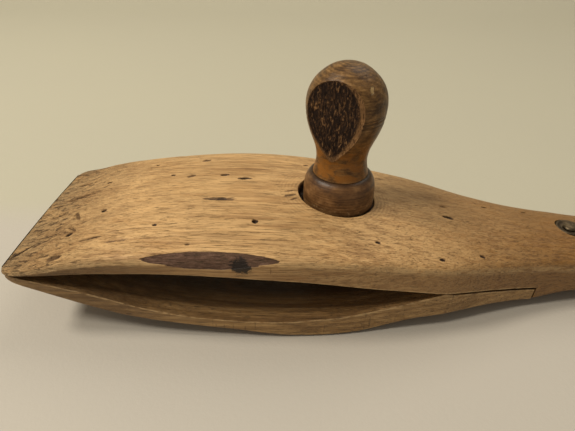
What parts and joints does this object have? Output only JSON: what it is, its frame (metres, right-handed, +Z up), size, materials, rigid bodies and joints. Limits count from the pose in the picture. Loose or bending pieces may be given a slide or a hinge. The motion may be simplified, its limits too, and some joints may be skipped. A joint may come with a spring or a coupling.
{
  "type": "wooden stitching clamp",
  "caption": "Hand-held wooden clamp for leather sewing: broad crowned jaw and handle, thin bowed spring jaw beneath, and a turned knob screw that closes the wide nose.",
  "frame": {"origin": "centre of the bounding box, at the height of the table that the clamp lies on", "axes": "+X from the nose of the jaws to the butt of the handle, +Z up through the knob, +Y completes the right-handed set"},
  "size_m": [0.47, 0.1166, 0.136],
  "materials": {
    "jaw_wood": "worn waxed hardwood, honey tan with dark dents and worm holes",
    "spring_wood": "worn waxed hardwood, tan, dirtier inside the mouth",
    "knob_wood": "turned hardwood, satin, amber neck and grey-brown head",
    "collar_wood": "turned hardwood, satin, polished by rubbing",
    "rivet_metal": "tarnished, with brighter worn head",
    "rove_metal": "dark tarnished"
  },
  "bodies": {
    "root": {"fixed_jaw": "jaw_wood", "spring_jaw_root": "spring_wood", "tongue_rivets": "rivet_metal", "rivet_roves": "rove_metal"},
    "leaf": {"spring_jaw_leaf": "spring_wood"},
    "screw": {"clamp_screw": "knob_wood", "knob_collar": "collar_wood"}
  },
  "joints": [
    {"name": "screw_turn", "type": "hinge", "parent": "root", "child": "screw", "pos_m": [-0.057, 0, 0.055], "axis": [0, 0, 1], "range_deg": [0, 130]},
    {"name": "jaw_open", "type": "hinge", "parent": "root", "child": "leaf", "pos_m": [-0.001, 0, 0.016], "axis": [0, -1, 0], "range_deg": [0, 3]}
  ],
  "couplings": [
    {"joint": "jaw_open", "follows": "screw_turn", "ratio": 0.022736}
  ]
}
